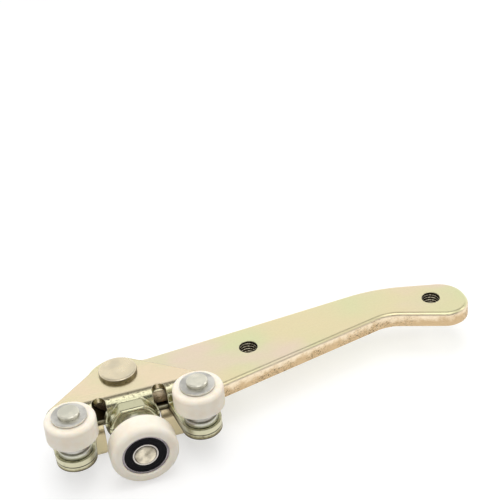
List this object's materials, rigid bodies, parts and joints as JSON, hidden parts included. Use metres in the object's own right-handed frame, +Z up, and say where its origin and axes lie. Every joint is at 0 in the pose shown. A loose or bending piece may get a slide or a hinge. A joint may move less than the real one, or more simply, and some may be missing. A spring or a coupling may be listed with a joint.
{
  "type": "lower sliding door roller",
  "caption": "Flat steel door arm with tapped holes and a swivelling carriage that holds a load wheel on a sealed ball bearing and nylon guide rollers.",
  "frame": {"origin": "centre of the load wheel, on its axle", "axes": "+X along the track, the way the load wheel rolls; +Y from the wheel towards the swivel rivet and the door; +Z up, along the swivel and guide roller axes"},
  "size_m": [0.2213, 0.0725, 0.0438],
  "materials": {
    "arm_steel": "yellow zinc plated rolled plate with rough sheared edges",
    "bracket_steel": "yellow zinc plated pressed sheet",
    "fastener_steel": "bright zinc plated, turned and riveted",
    "washer_steel": "bright zinc plated",
    "bearing_steel": "ground bearing steel",
    "cage_steel": "pressed steel cage",
    "seal_rubber": "black moulded rubber seal",
    "white_nylon": "warm white moulded nylon, satin"
  },
  "bodies": {
    "arm": {"arm_plate": "arm_steel"},
    "carriage": {"upper_bracket": "bracket_steel", "lower_bracket": "bracket_steel", "stop_plate": "bracket_steel", "swivel_bush": "fastener_steel", "swivel_rivet": "fastener_steel", "swivel_washer": "fastener_steel", "load_axle": "fastener_steel", "axle_spacer": "fastener_steel", "bearing_inner_ring": "bearing_steel", "left_guide_pin": "fastener_steel", "left_guide_bush": "fastener_steel", "left_spacer_washer": "washer_steel", "left_top_washer": "washer_steel", "right_guide_pin": "fastener_steel", "right_guide_bush": "fastener_steel", "right_spacer_washer": "washer_steel", "right_top_washer": "washer_steel"},
    "load_wheel": {"load_tyre": "white_nylon", "bearing_outer_ring": "bearing_steel", "bearing_front_seal": "seal_rubber", "bearing_rear_seal": "seal_rubber"},
    "ball_set": {"bearing_balls": "bearing_steel", "bearing_cage": "cage_steel"},
    "left_roller": {"left_guide_roller": "white_nylon"},
    "right_roller": {"right_guide_roller": "white_nylon"}
  },
  "joints": [
    {"name": "carriage_swivel", "type": "hinge", "parent": "arm", "child": "carriage", "pos_m": [-0.0012, 0.045, 0], "axis": [0, 0, 1], "range_deg": [-45, 0]},
    {"name": "load_wheel_spin", "type": "hinge", "parent": "carriage", "child": "load_wheel", "pos_m": [0, 0, 0], "axis": [0, 1, 0], "continuous": true},
    {"name": "ball_set_spin", "type": "hinge", "parent": "carriage", "child": "ball_set", "pos_m": [0, 0, 0], "axis": [0, 1, 0], "continuous": true},
    {"name": "left_roller_spin", "type": "hinge", "parent": "carriage", "child": "left_roller", "pos_m": [-0.03, 0.008, 0], "axis": [0, 0, 1], "continuous": true},
    {"name": "right_roller_spin", "type": "hinge", "parent": "carriage", "child": "right_roller", "pos_m": [0.03, 0.008, 0], "axis": [0, 0, 1], "continuous": true}
  ],
  "couplings": [
    {"joint": "ball_set_spin", "follows": "load_wheel_spin", "ratio": 0.5992}
  ]
}
